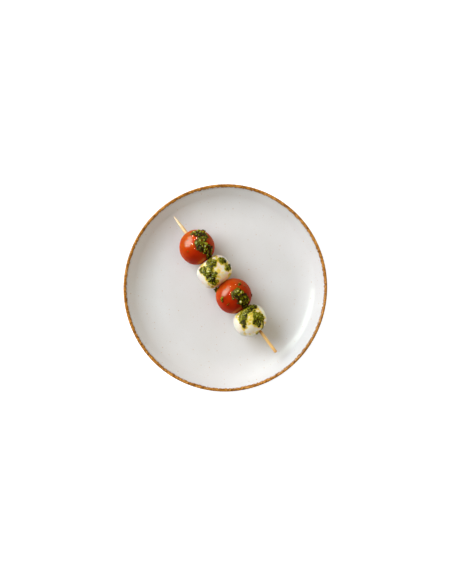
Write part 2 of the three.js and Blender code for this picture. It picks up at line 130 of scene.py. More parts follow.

# Pesto, as (x, y, radius, tone) where it is seen from above: tone 0 is a dark gap between leaves,
# about 0.4 a chopped leaf, and 1 a pale crumb of cheese or pine nut. The darkest tones are partly
# painted shade in the gaps, and the palest partly painted glints where the wet leaves shine.
PESTO = {
    "tomato_1": [
        (26.6, 13.7, 1.0, 0.4), (25.3, 12.9, 1.0, 0.3), (22.2, 2.8, 1.1, 0.5), (21.8, 4.8, 1.5, 0.55),
        (23.5, 5.6, 1.4, 0.35), (25.0, 5.7, 1.2, 0.2), (22.5, 7.1, 1.1, 0.45), (23.1, 8.4, 0.9, 0.9),
        (23.5, 9.8, 1.4, 0.45), (24.8, 10.4, 1.3, 0.3), (26.4, 11.2, 1.4, 0.7), (28.2, 10.7, 1.3, 0.2),
        (28.8, 12.3, 1.2, 0.15), (29.9, 11.1, 1.2, 0.15), (31.2, 12.1, 1.3, 0.38), (32.4, 11.0, 0.9, 0.3),
        (26.4, 7.0, 0.7, 0.65), (28.8, 5.3, 1.1, 0.5), (30.5, 5.1, 1.1, 0.95), (29.8, 7.0, 1.3, 0.5),
        (30.3, 8.6, 1.0, 0.45), (31.0, 9.4, 1.0, 0.35), (32.7, 7.8, 0.9, 0.8), (31.2, 2.7, 1.8, 0.5),
        (30.3, 1.0, 1.3, 0.5), (32.3, 0.3, 1.0, 0.3), (33.3, 4.8, 1.1, 0.4), (34.0, 6.3, 1.2, 0.5),
        (35.4, 7.2, 1.2, 0.85), (36.9, 7.9, 1.2, 0.75), (36.2, 6.0, 0.9, 0.1), (37.6, 5.6, 1.1, 1.0),
        (38.5, 4.7, 0.8, 0.65), (35.6, 3.8, 0.9, 0.65), (34.0, 3.0, 1.1, 0.02), (36.7, 2.8, 1.2, 0.02),
        (35.7, 1.5, 0.9, 0.5), (34.1, 0.6, 0.9, 0.1), (36.0, -0.8, 1.0, 0.3), (37.7, 3.0, 1.0, 0.0),
        (39.6, 3.2, 1.0, 1.0), (40.3, 5.3, 1.2, 0.6), (40.7, 2.6, 0.9, 0.7), (39.4, 9.3, 1.1, 0.15),
        (38.6, 8.3, 1.0, 0.25), (40.4, 7.4, 1.2, 0.08), (42.5, 8.5, 1.1, 0.3), (43.9, 7.5, 1.1, 0.3),
        (42.4, 6.0, 1.1, 0.1), (42.6, 3.6, 1.2, 0.05), (44.8, 2.8, 1.1, 0.55), (45.4, 5.0, 1.2, 0.15),
        (46.6, 5.6, 0.9, 0.2), (47.0, 3.0, 1.0, 0.1), (46.4, 1.2, 0.8, 0.25), (38.6, -0.3, 0.7, 0.2),
        (24.2, -3.0, 0.5, 0.5), (27.0, -5.6, 0.35, 0.3), (32.2, -9.0, 0.5, 0.4), (33.5, 12.9, 0.6, 0.2),
        (25.5, 8.5, 1.2, 0.12), (27.5, 8.8, 1.2, 0.15), (27.8, 6.2, 1.0, 0.15), (24.6, 7.4, 0.9, 0.15),
        (32.8, 2.2, 1.3, 0.05), (38.5, 1.5, 1.1, 0.05), (41.5, 1.8, 1.0, 0.1), (43.5, 4.0, 1.2, 0.05),
        (47.8, 4.5, 0.9, 0.08), (47.5, 1.5, 0.9, 0.1), (34.5, -0.6, 0.8, 0.2), (33.5, 9.2, 1.0, 0.2),
        (29.0, 2.6, 0.9, 0.2), (25.2, 4.4, 0.8, 0.15), (28.6, 8.0, 0.9, 0.15), (41.6, 10.2, 0.9, 0.15),
    ],
    "mozzarella_1": [
        (56.5, 12.0, 1.5, 0.3), (58.7, 11.7, 1.6, 0.15), (55.2, 10.2, 1.5, 0.45), (57.3, 10.0, 1.5, 0.4),
        (56.3, 8.7, 1.3, 0.55), (58.4, 9.3, 1.0, 0.3), (64.4, 12.5, 1.4, 0.2), (66.0, 11.6, 1.2, 0.25),
        (63.5, 10.5, 1.3, 0.5), (65.3, 10.4, 1.6, 0.35), (65.0, 8.8, 1.1, 0.55), (66.8, 9.7, 0.8, 0.35),
        (53.5, 5.6, 0.9, 0.55), (52.7, 4.2, 1.3, 0.35), (54.5, 3.6, 1.4, 0.3), (52.3, 2.2, 1.3, 0.4),
        (54.6, 1.6, 1.6, 0.22), (56.2, 2.6, 1.0, 0.3), (53.0, 0.2, 1.5, 0.5), (55.5, 0.0, 1.3, 0.2),
        (52.0, -1.0, 1.1, 0.45), (54.0, -1.6, 1.4, 0.5), (50.0, -0.5, 0.9, 0.5), (53.3, -3.0, 1.1, 0.5),
        (56.8, -0.9, 0.9, 0.35), (57.0, -2.4, 1.0, 0.25), (55.6, -3.2, 0.8, 0.85), (58.0, -3.4, 1.2, 0.35),
        (60.6, -3.2, 1.2, 0.35), (62.3, -1.0, 1.2, 0.25), (61.5, -2.2, 1.0, 0.45), (64.0, -2.8, 1.0, 0.45),
        (52.2, -5.8, 1.0, 0.4), (53.3, -7.3, 1.4, 0.6), (51.3, -8.2, 1.0, 0.5), (52.0, -10.2, 1.2, 0.4),
        (53.5, -10.5, 1.1, 0.35), (55.0, -7.3, 1.2, 0.2), (55.2, -9.3, 1.2, 0.4), (57.4, -5.3, 1.2, 1.0),
        (57.2, -7.8, 1.3, 0.3), (57.8, -9.4, 1.0, 0.5), (59.3, -8.0, 1.3, 0.45), (60.7, -6.2, 1.4, 0.1),
        (60.5, -8.6, 1.3, 0.15), (62.5, -4.4, 1.3, 0.45), (62.8, -6.8, 1.2, 0.4), (63.2, -8.4, 1.1, 0.65),
        (61.5, -9.9, 0.8, 0.35), (64.6, -5.0, 1.5, 0.05), (64.5, -7.2, 1.2, 0.3), (66.3, -6.2, 1.5, 0.1),
        (64.8, -9.2, 1.2, 0.3), (66.7, -8.8, 1.1, 0.65), (68.6, -4.2, 1.1, 0.35), (68.8, -6.5, 1.2, 0.4),
        (68.2, -8.6, 0.9, 0.3), (69.8, -7.5, 0.8, 0.35), (51.2, -1.6, 1.1, 0.3), (54.3, 9.6, 1.1, 0.4),
        (50.4, 3.2, 0.9, 0.35), (54.0, -5.4, 0.9, 0.45), (50.6, 1.4, 0.9, 0.3), (59.6, -5.2, 1.0, 0.2),
    ],
    "tomato_2": [
        (82.6, 10.1, 0.9, 0.5), (82.9, 8.8, 0.7, 0.4), (82.3, 11.1, 0.5, 0.45), (86.2, 12.2, 0.6, 0.3),
        (84.8, 6.2, 1.1, 0.4), (85.8, 6.6, 1.0, 0.6), (86.3, 5.2, 1.2, 1.0), (87.0, 4.6, 0.8, 0.85),
        (85.2, 4.2, 1.1, 0.35), (84.6, 2.6, 0.9, 0.3), (86.3, 3.0, 1.0, 0.65), (87.3, 6.8, 1.0, 0.08),
        (88.6, 8.0, 1.1, 0.3), (90.0, 8.0, 0.9, 0.25), (89.1, 6.6, 1.1, 1.0), (89.6, 5.6, 0.9, 0.6),
        (88.2, 5.0, 1.0, 0.15), (89.3, 3.7, 1.0, 0.65), (88.0, 3.4, 1.0, 0.2), (87.3, 2.0, 1.2, 0.35),
        (86.3, 0.8, 1.4, 0.25), (85.5, -0.3, 1.0, 0.4), (87.0, -1.0, 1.0, 0.2), (88.6, 1.0, 1.2, 0.1),
        (89.9, 2.2, 1.2, 0.2), (84.2, 0.5, 0.6, 0.4), (90.8, 1.0, 1.1, 0.08), (91.5, 2.6, 1.1, 0.12),
        (92.0, 4.8, 1.0, 0.25), (89.4, -2.3, 0.9, 0.3), (92.8, 8.5, 1.2, 0.2), (94.6, 8.1, 1.3, 0.34),
        (94.6, 6.6, 1.2, 0.38), (93.2, 6.8, 1.1, 0.25), (96.6, 8.5, 1.2, 0.25), (98.1, 8.2, 1.1, 0.4),
        (98.5, 6.8, 1.2, 0.45), (96.8, 7.0, 1.2, 0.08), (97.4, 5.6, 1.1, 0.45), (95.8, 5.2, 1.1, 0.08),
        (93.4, 4.2, 1.2, 0.55), (92.6, 3.4, 0.9, 0.4), (95.0, 4.0, 1.0, 0.15), (96.6, 3.8, 1.1, 0.2),
        (95.0, 2.6, 0.8, 0.6), (95.1, 1.3, 1.0, 1.0), (96.0, 1.1, 0.8, 0.95), (96.3, 2.2, 0.8, 0.5),
        (98.2, 2.8, 1.1, 0.4), (99.0, 5.0, 1.0, 0.12), (93.0, 1.6, 1.0, 0.08), (94.0, 0.4, 0.8, 0.1),
        (96.8, 0.0, 0.9, 0.28), (95.2, -1.3, 0.8, 0.22), (99.6, 3.4, 1.2, 0.02), (100.2, 2.0, 1.2, 0.0),
        (100.4, 0.2, 1.1, 0.0), (100.8, 4.6, 1.0, 0.02), (100.2, 6.4, 0.9, 0.08), (83.1, -8.6, 0.8, 0.75),
        (83.4, -10.0, 1.0, 0.45), (84.6, -10.8, 1.2, 0.3), (86.0, -11.1, 0.8, 0.2), (85.5, -7.3, 0.4, 0.35),
        (91.0, -9.4, 0.6, 0.35), (90.7, -7.7, 0.45, 0.3), (79.0, -2.8, 0.4, 0.5), (96.2, 13.3, 0.7, 0.3),
        (97.4, 12.4, 0.6, 0.3), (74.2, -6.6, 0.9, 0.2), (88.0, 6.0, 1.0, 0.15), (98.8, 1.2, 1.1, 0.05),
        (97.4, 1.6, 0.9, 0.12), (101.2, 2.8, 1.0, 0.03), (82.6, 9.5, 0.8, 0.2), (91.4, 6.4, 0.9, 0.1),
    ],
    "mozzarella_2": [
        (106.6, 9.6, 1.2, 0.3), (107.8, 8.7, 1.1, 0.15), (106.2, 8.6, 1.2, 0.35), (104.8, 9.0, 0.7, 0.4),
        (105.0, 7.4, 1.1, 0.55), (106.4, 7.2, 1.0, 0.45), (107.6, 7.6, 0.8, 0.35), (105.6, 6.0, 1.1, 0.35),
        (106.6, 5.4, 1.3, 0.1), (107.4, 4.3, 1.1, 0.15), (105.2, 4.6, 1.1, 0.55), (105.5, 3.0, 1.2, 0.45),
        (107.0, 2.8, 1.2, 0.3), (104.4, 3.4, 0.8, 0.6), (105.6, 1.4, 1.2, 0.35), (107.0, 1.2, 1.2, 0.2),
        (105.2, -0.4, 1.1, 0.75), (106.7, -0.6, 1.2, 0.3), (105.0, -2.4, 1.1, 0.6), (106.2, -2.6, 1.1, 0.35),
        (107.8, -1.8, 1.3, 0.15), (109.0, -2.8, 1.2, 0.1), (106.0, -4.4, 1.1, 0.6), (107.5, -3.8, 1.1, 0.45),
        (109.2, -4.2, 1.1, 0.35), (105.4, -5.9, 1.1, 0.4), (107.0, -6.0, 1.3, 0.55), (106.4, -7.6, 1.2, 0.4),
        (108.9, -6.0, 1.2, 0.55), (109.0, -7.2, 0.9, 0.85), (108.0, -8.5, 1.1, 0.45),
        (110.2, -9.3, 1.0, 0.35), (110.6, -5.6, 1.2, 0.15), (110.5, -7.4, 1.1, 0.2), (112.0, -6.6, 1.2, 0.1),
        (112.0, -8.0, 0.9, 0.15), (113.5, -7.4, 1.1, 0.2), (110.6, -4.2, 0.9, 0.2), (114.9, -9.2, 1.3, 0.15),
        (115.8, -9.5, 0.7, 0.3), (110.2, 5.0, 0.9, 0.3), (111.6, 5.4, 1.2, 0.5), (112.9, 5.0, 1.2, 0.55),
        (112.0, 4.2, 0.8, 0.5), (114.2, 7.8, 1.1, 0.5), (115.4, 7.6, 1.1, 0.35), (113.6, 8.6, 0.7, 0.55),
        (114.5, 5.9, 1.1, 0.6), (114.4, 4.8, 0.8, 0.9), (116.4, 9.1, 1.1, 0.22), (117.7, 8.7, 1.2, 0.4),
        (116.4, 7.2, 1.2, 0.6), (117.9, 7.2, 1.2, 0.4), (119.3, 8.1, 1.2, 0.3), (119.9, 6.8, 1.2, 0.38),
        (118.4, 5.6, 1.3, 0.25), (116.5, 5.4, 1.2, 0.45), (115.0, 3.8, 1.2, 0.4), (116.8, 3.8, 1.1, 0.15),
        (118.4, 4.0, 1.1, 0.1), (119.9, 5.0, 1.2, 0.35), (121.3, 6.3, 0.9, 0.3), (115.4, 2.2, 1.1, 0.3),
        (116.9, 2.0, 1.1, 0.12), (116.6, 0.6, 1.0, 0.2), (117.8, -0.4, 1.0, 0.05), (118.2, 1.4, 0.9, 0.5),
        (119.3, 0.8, 1.1, 0.45), (120.3, 2.2, 1.1, 0.25), (121.4, 3.4, 1.1, 0.12), (122.6, 1.7, 1.1, 0.05),
        (121.5, 1.2, 0.9, 0.25), (121.9, 6.1, 0.75, 0.28), (122.8, 5.6, 0.7, 0.3), (123.7, 5.1, 0.7, 0.36),
        (124.5, 4.5, 0.65, 0.32), (125.2, 3.8, 0.65, 0.3), (125.7, 2.9, 0.6, 0.35), (126.0, 1.9, 0.6, 0.38),
        (103.2, 4.6, 1.0, 0.3), (103.0, 1.8, 1.0, 0.3), (103.6, 6.6, 0.9, 0.35), (103.2, -1.4, 0.9, 0.4),
        (113.4, 3.2, 1.1, 0.35), (104.0, -4.0, 0.9, 0.4), (109.2, 6.4, 0.8, 0.3), (112.4, 6.6, 0.9, 0.35),
    ],
}
# Olive oil soaked into the cheese, as (x, y, half length, half width, strength) seen from above.
OIL_STAINS = {
    "mozzarella_1": [
        (49.2, 2.6, 1.2, 3.8, 0.95), (49.6, 8.0, 1.2, 2.6, 0.8), (51.2, 8.2, 1.6, 1.4, 0.7),
        (53.5, 7.6, 1.8, 1.6, 0.85), (49.4, -6.6, 1.2, 3.0, 0.7), (58.0, 7.6, 2.2, 0.9, 0.7),
        (61.2, 11.2, 1.7, 2.4, 0.95), (62.2, 2.6, 3.0, 2.8, 0.6), (59.2, -1.6, 1.9, 1.2, 0.85),
        (60.2, 4.4, 2.2, 1.4, 0.35), (65.8, 4.3, 1.6, 2.4, 0.4), (66.4, -0.6, 2.6, 2.0, 0.5),
        (68.4, 3.4, 2.2, 2.6, 0.35), (70.6, 8.4, 1.4, 2.4, 0.9), (72.2, 6.6, 1.4, 1.8, 0.7),
        (67.4, 11.0, 2.4, 1.4, 0.5), (70.2, -10.6, 1.8, 1.9, 1.0), (70.4, -6.0, 1.4, 3.6, 0.9),
        (61.6, -10.9, 3.0, 1.2, 0.7), (66.5, -11.4, 2.4, 1.4, 0.6), (54.8, -4.4, 1.6, 0.9, 0.6),
        (55.6, -11.6, 2.2, 0.9, 0.4), (72.6, 1.0, 0.9, 3.0, 0.5),
    ],
    "mozzarella_2": [
        (103.0, 0.6, 1.4, 5.8, 1.0), (103.6, -6.6, 1.2, 2.6, 0.8), (104.0, 9.0, 1.2, 1.6, 0.8),
        (109.4, 6.2, 1.3, 1.6, 0.9), (109.6, 1.6, 1.6, 2.8, 0.85), (111.8, 1.8, 2.2, 2.8, 0.6),
        (113.6, -1.4, 2.6, 2.4, 0.65), (115.8, -3.6, 1.6, 2.6, 0.75), (113.2, -4.0, 1.8, 1.6, 0.7),
        (117.6, -1.6, 1.6, 1.2, 0.8), (120.6, -1.6, 1.6, 1.2, 0.6), (112.2, -9.6, 1.8, 1.1, 0.95),
        (116.2, -11.2, 3.4, 1.5, 0.6), (120.4, -12.4, 2.8, 1.5, 0.42), (117.2, -8.0, 1.2, 1.6, 0.6),
        (107.4, -9.6, 2.0, 1.0, 0.7), (104.6, -9.4, 1.4, 1.4, 0.55), (123.4, -9.0, 1.2, 1.2, 0.45),
        (124.0, 2.8, 2.4, 1.6, 0.6), (126.2, -2.2, 1.8, 3.6, 0.75), (124.2, -5.4, 1.4, 1.4, 0.35),
        (112.6, 10.2, 2.6, 1.3, 0.45), (119.5, 10.0, 2.6, 1.0, 0.5), (123.4, 7.4, 1.4, 1.2, 0.7),
        (110.4, 9.8, 1.4, 1.4, 0.6),
    ],
}
# Beads of oil on the tomatoes' skins, as (x, y, half length, half width, turn in degrees).
OIL_BEADS = {
    "tomato_1": [
        (29.8, -2.2, 1.8, 0.7, -40), (27.9, 4.2, 1.6, 0.9, -15), (24.0, 2.6, 1.2, 0.8, 40),
        (27.2, 2.0, 0.8, 0.7, 0), (33.6, -2.3, 0.8, 0.5, -15), (29.3, -8.4, 0.6, 0.45, 20),
        (34.6, 10.2, 0.6, 0.5, 0), (22.0, -2.1, 0.5, 0.45, 0),
    ],
    "tomato_2": [
        (83.7, -0.7, 1.2, 0.7, -50), (84.9, -2.7, 1.5, 0.65, -40), (79.6, 2.4, 0.9, 0.6, 0),
        (82.4, 0.9, 0.8, 0.5, 60), (86.6, -3.1, 0.7, 0.5, 0), (76.6, -3.0, 0.5, 0.4, 0),
        (93.3, -1.5, 0.7, 0.5, 20), (80.4, 7.0, 0.5, 0.4, 0),
    ],
}
# Flat wet leaves that catch the window, as (x, y, half size, tone).
WET_LEAVES = {
    "tomato_1": [
        (39.4, 3.4, 1.0, 0.5), (35.8, 3.8, 0.75, 0.4), (37.5, 5.7, 0.7, 0.65), (30.6, 5.1, 0.7, 0.8),
        (26.3, 7.2, 0.6, 0.45), (23.1, 8.4, 0.65, 0.75), (30.6, 1.2, 1.5, 0.4), (28.9, 4.2, 0.6, 0.4),
        (36.2, 7.4, 0.8, 0.6), (35.6, 1.6, 0.5, 0.4), (26.6, 11.2, 0.8, 0.6), (44.9, 2.7, 0.7, 0.5),
        (32.6, 8.0, 0.6, 0.7),
    ],
    "mozzarella_1": [
        (57.3, -5.4, 1.5, 0.75), (53.2, -7.4, 1.1, 0.55), (53.5, -0.3, 1.0, 0.5), (53.6, 1.8, 0.7, 0.45),
        (63.3, -7.4, 0.9, 0.55), (64.3, -5.6, 0.6, 0.4), (56.2, -3.4, 0.8, 0.7), (55.6, 9.4, 0.7, 0.5),
        (61.6, -2.4, 0.6, 0.5), (58.3, -7.4, 0.8, 0.5),
    ],
    "tomato_2": [
        (86.4, 5.2, 0.9, 0.8), (89.1, 6.6, 0.8, 0.75), (95.2, 1.4, 1.0, 0.8), (94.3, 2.2, 0.7, 0.5),
        (88.7, -0.1, 0.5, 0.4), (86.2, 2.9, 0.6, 0.5), (94.6, 7.2, 0.8, 0.5), (97.8, 6.8, 0.7, 0.5),
        (83.2, -8.8, 0.8, 0.65), (89.6, 3.6, 0.5, 0.5),
    ],
    "mozzarella_2": [
        (105.7, -1.0, 0.9, 0.55), (106.8, -3.4, 0.8, 0.5), (107.4, -5.8, 0.9, 0.6), (108.8, -6.8, 0.8, 0.65),
        (105.4, 3.4, 0.7, 0.5), (108.0, -4.6, 0.6, 0.5), (114.4, 4.9, 0.8, 0.7), (118.4, 5.4, 0.8, 0.4),
        (119.4, 3.6, 0.7, 0.4), (112.0, 5.2, 0.8, 0.55), (116.4, 6.8, 0.7, 0.5), (106.4, 0.8, 0.7, 0.5),
        (110.0, -8.4, 0.7, 0.5),
    ],
}
# Lumps that fill a notch rather than lie on a ball, as (x, y, height above the stick, radius, tone).
NOTCH_LUMPS = {
    "tomato_2": [
        (73.2, -8.2, 1.2, 1.15, 0.3), (74.2, -9.2, 1.2, 1.3, 0.2), (73.8, -10.2, 0.8, 1.15, 0.35),
        (75.0, -10.3, 0.8, 1.0, 0.25), (74.9, -8.2, 1.6, 1.0, 0.15),
    ],
    "mozzarella_2": [
        (126.5, -3.3, -0.2, 0.8, 0.75), (126.7, -2.2, 0.5, 0.55, 0.72), (126.3, -4.5, -0.6, 0.6, 0.75),
    ],
}

# ---------------------------------------------------------------- helpers


def linear(hex_colour):
    """The linear RGBA of an sRGB colour such as "a86432"."""
    channels = [int(hex_colour[i : i + 2], 16) / 255 for i in (0, 2, 4)]
    return [c / 12.92 if c <= 0.04045 else ((c + 0.055) / 1.055) ** 2.4 for c in channels] + [1.0]


def feed(node, inputs):
    """Links each input whose value is a socket, and sets the others."""
    for name, value in inputs.items():
        if isinstance(value, bpy.types.NodeSocket):
            node.id_data.links.new(value, node.inputs[name])
        else:
            node.inputs[name].default_value = value


def add(tree, kind, inputs=None, stops=None, out=0, **settings):
    """Adds a node with its settings, and gives its output out, or all its outputs for None."""
    made = tree.nodes.new("ShaderNode" + kind)
    for name, value in settings.items():
        setattr(made, name, value)
    feed(made, inputs or {})
    if stops:
        ramp = made.color_ramp
        while len(ramp.elements) < len(stops):
            ramp.elements.new(0.5)
        for element, (position, colour) in zip(ramp.elements, stops):
            element.position = position
            element.color = linear(colour)
    return made.outputs if out is None else made.outputs[out]


def new_material(name, numbers):
    """A material with one Principled shader, and the mesh's own place in mm for its patterns."""
    material = bpy.data.materials.new(name)
    material.use_nodes = True
    tree = material.node_tree
    surface = tree.nodes["Principled BSDF"]
    feed(surface, numbers)
    place = add(tree, "TexCoord", out="Object")
    in_mm = add(tree, "VectorMath", {0: place, "Scale": 1 / MM}, operation="SCALE")
    return material, tree, surface, in_mm


def smooth_step(value, low, high):
    t = np.clip((value - low) / (high - low), 0, 1)
    return t * t * (3 - 2 * t)


def cubic(start, control_1, control_2, end, count):
    """Points along a cubic curve, without its first."""
    t = np.linspace(0, 1, count + 1)[1:, None]
    a, b, c, d = (np.array(p, float) for p in (start, control_1, control_2, end))
    return a * (1 - t) ** 3 + 3 * b * t * (1 - t) ** 2 + 3 * c * t**2 * (1 - t) + d * t**3


def make_piece(name, points, faces, material, values=None, smooth=True):
    """A mesh from points in mm, with a number for each point under each name in values."""
    mesh = bpy.data.meshes.new(name)
    mesh.from_pydata((np.asarray(points) * MM).tolist(), [], faces)
    for title, numbers in (values or {}).items():
        layer = mesh.attributes.new(title, "FLOAT", "POINT")
        layer.data.foreach_set("value", np.asarray(numbers, np.float32))
    mesh.materials.append(material)
    mesh.validate()
    mesh.polygons.foreach_set("use_smooth", [smooth] * len(mesh.polygons))
    mesh.update()
    piece = bpy.data.objects.new(name, mesh)
    bpy.context.scene.collection.objects.link(piece)
    return piece


def lay_on_plate(piece):
    """Turns a piece made in the skewer's frame to where the skewer lies."""
    at = Matrix.Translation(Vector((POINT[0], POINT[1], STICK_HEIGHT)) * MM)
    piece.matrix_world = at @ Matrix.Rotation(SKEWER_TURN, 4, "Z")
    return piece


def closed_rings(rings, sides):
    """Faces of rings of points that follow one another and end in two single points, which come
    after all the rings: the one at the first ring's end, and then the other."""
    faces = []
    for i in range(rings - 1):
        for j in range(sides):
            k = (j + 1) % sides
            a, b = i * sides, (i + 1) * sides
            faces.append((a + j, b + j, b + k, a + k))
    first, last, bottom = rings * sides, rings * sides + 1, (rings - 1) * sides
    faces += [(first, j, (j + 1) % sides) for j in range(sides)]
    faces += [(last, bottom + (j + 1) % sides, bottom + j) for j in range(sides)]
    return faces


# ---------------------------------------------------------------- materials


def glazed_stoneware():
    """Warm white satin glaze on speckled stoneware, fired: soft reflections, faint cloudy patches,
    fine iron specks, and a brown rim where the glaze breaks over the edge."""
    numbers = {"IOR": 1.5, "Specular IOR Level": 0.05, "Coat Weight": 0.08, "Coat Roughness": 0.09}
    material, tree, surface, place = new_material("glazed_stoneware", numbers)
    # clouds about 30 mm across
    clouds = add(tree, "TexNoise", {"Vector": place, "Scale": 0.035, "Detail": 4.0})
    glaze = add(tree, "ValToRGB", {"Fac": clouds}, [(0.3, "d8d5d0"), (0.5, "dad7d3"), (0.7, "dcdad6")])
    for cell, least, most, strength, colour in (
        (7.0, 0.02, 0.07, 0.62, "c0955a"),
        (3.1, 0.04, 0.11, 0.36, "c4a473"),
    ):
        # iron specks: one to a cell of this many mm, each with a size of its own
        cells = add(
            tree, "TexVoronoi", {"Vector": place, "Scale": 1 / cell}, out=None, voronoi_dimensions="2D"
        )
        chance = add(tree, "SeparateColor", {"Color": cells["Color"]})
        reach = add(tree, "MapRange", {"Value": chance, "From Min": 0.35, "To Min": 0.0, "To Max": most})
        core = add(tree, "Math", {0: reach, 1: least}, operation="SUBTRACT")
        away = cells["Distance"]
        speck = add(
            tree,
            "MapRange",
            {"Value": away, "From Min": core, "From Max": reach, "To Min": strength, "To Max": 0.0},
            interpolation_type="SMOOTHSTEP",
        )
        glaze = add(tree, "Mix", {0: speck, 6: glaze, 7: linear(colour)}, out=2, data_type="RGBA")
    # the bare band: rim counts the millimetres from its borders, and they wander
    inside = add(tree, "Attribute", out="Fac", attribute_name="rim")
    ragged = add(tree, "TexNoise", {"Vector": place, "Scale": 0.55, "Detail": 4.0, "Roughness": 0.7})
    wander = add(
        tree,
        "MapRange",
        {"Value": ragged, "From Min": 0.35, "From Max": 0.65, "To Min": -0.75, "To Max": 0.7},
    )
    border = add(tree, "Math", {0: inside, 1: wander}, operation="ADD")
    bare = add(
        tree,
        "MapRange",
        {"Value": border, "From Min": -0.15, "From Max": 0.35},
        interpolation_type="SMOOTHSTEP",
    )
    # the glaze has burnt darker where it breaks on the inside
    upward = add(tree, "Attribute", out="Fac", attribute_name="rim_climb")
    climb = add(tree, "Math", {0: upward, 1: wander}, operation="ADD")
    deep = add(
        tree,
        "MapRange",
        {"Value": climb, "From Min": 0.2, "From Max": 1.1},
        interpolation_type="SMOOTHSTEP",
    )
    blotches = add(tree, "TexNoise", {"Vector": place, "Scale": 0.45, "Detail": 5.0, "Roughness": 0.7})
    iron = add(
        tree,
        "ValToRGB",
        {"Fac": blotches},
        [(0.36, "5e340c"), (0.45, "9a5e1b"), (0.54, "c3812f"), (0.66, "d89c50")],
    )
    rim = add(tree, "Mix", {0: deep, 6: linear("8c551c"), 7: iron}, out=2, data_type="RGBA")
    colour = add(tree, "Mix", {0: bare, 6: glaze, 7: rim}, out=2, data_type="RGBA")
    satin = add(tree, "MapRange", {"Value": bare, "To Min": 0.34, "To Max": 0.55})
    # orange peel about 1.5 mm across, and the body's grit on the bare rim
    peel = add(tree, "TexNoise", {"Vector": place, "Scale": 0.6, "Detail": 3.0})
    skin = add(tree, "Bump", {"Strength": 0.05, "Distance": 0.0004, "Height": peel})
    grit = add(tree, "Math", {0: ragged, 1: bare}, operation="MULTIPLY")
    relief = add(tree, "Bump", {"Strength": 0.5, "Distance": 0.0004, "Height": grit, "Normal": skin})
    feed(surface, {"Base Color": colour, "Roughness": satin, "Normal": relief})
    return material


def split_bamboo():
    """Split and sanded bamboo: pale straw, with long fibres 0.2 mm wide, darker bundles among them,
    and a warmer, oilier colour towards the blunt end."""
    numbers = {
        "Roughness": 0.5, "IOR": 1.53, "Specular IOR Level": 0.3, "Coat Weight": 0.05, "Coat Roughness": 0.3,
    }
    material, tree, surface, place = new_material("split_bamboo", numbers)
    drawn_out = add(tree, "Mapping", {"Vector": place, "Scale": (0.035, 1.0, 1.0)})
    fibre = add(tree, "TexNoise", {"Vector": drawn_out, "Scale": 3.2, "Detail": 5.0, "Roughness": 0.6})
    bundles = add(tree, "TexNoise", {"Vector": drawn_out, "Scale": 1.5, "Detail": 2.0})
    straw = add(tree, "ValToRGB", {"Fac": fibre}, [(0.3, "ecc994"), (0.5, "fae3bd"), (0.7, "fff3da")])
    along = add(tree, "SeparateXYZ", {"Vector": place}, out="X")
    share = add(tree, "Math", {0: along, 1: 1 / STICK_LENGTH}, operation="MULTIPLY")
    # oil has crept out of the last ball, and the rest is toasted towards the blunt end
    tint = add(
        tree,
        "ValToRGB",
        {"Fac": share},
        [
            (0.0, "fff8ee"), (0.12, "fceccb"), (0.8, "c98f3a"), (0.845, "b87a24"), (0.868, "fde3b0"),
            (0.96, "fddd9f"), (1.0, "e8b870"),
        ],
    )
    toasted = add(
        tree, "Mix", {0: 1.0, 6: straw, 7: tint}, out=2, data_type="RGBA", blend_type="MULTIPLY"
    )
    dark = add(
        tree,
        "MapRange",
        {"Value": bundles, "From Min": 0.58, "From Max": 0.72, "To Min": 0.0, "To Max": 0.35},
    )
    colour = add(tree, "Mix", {0: dark, 6: toasted, 7: linear("c08a4a")}, out=2, data_type="RGBA")
    relief = add(tree, "Bump", {"Strength": 0.35, "Distance": 0.0002, "Height": fibre})
    feed(surface, {"Base Color": colour, "Normal": relief})
    return material


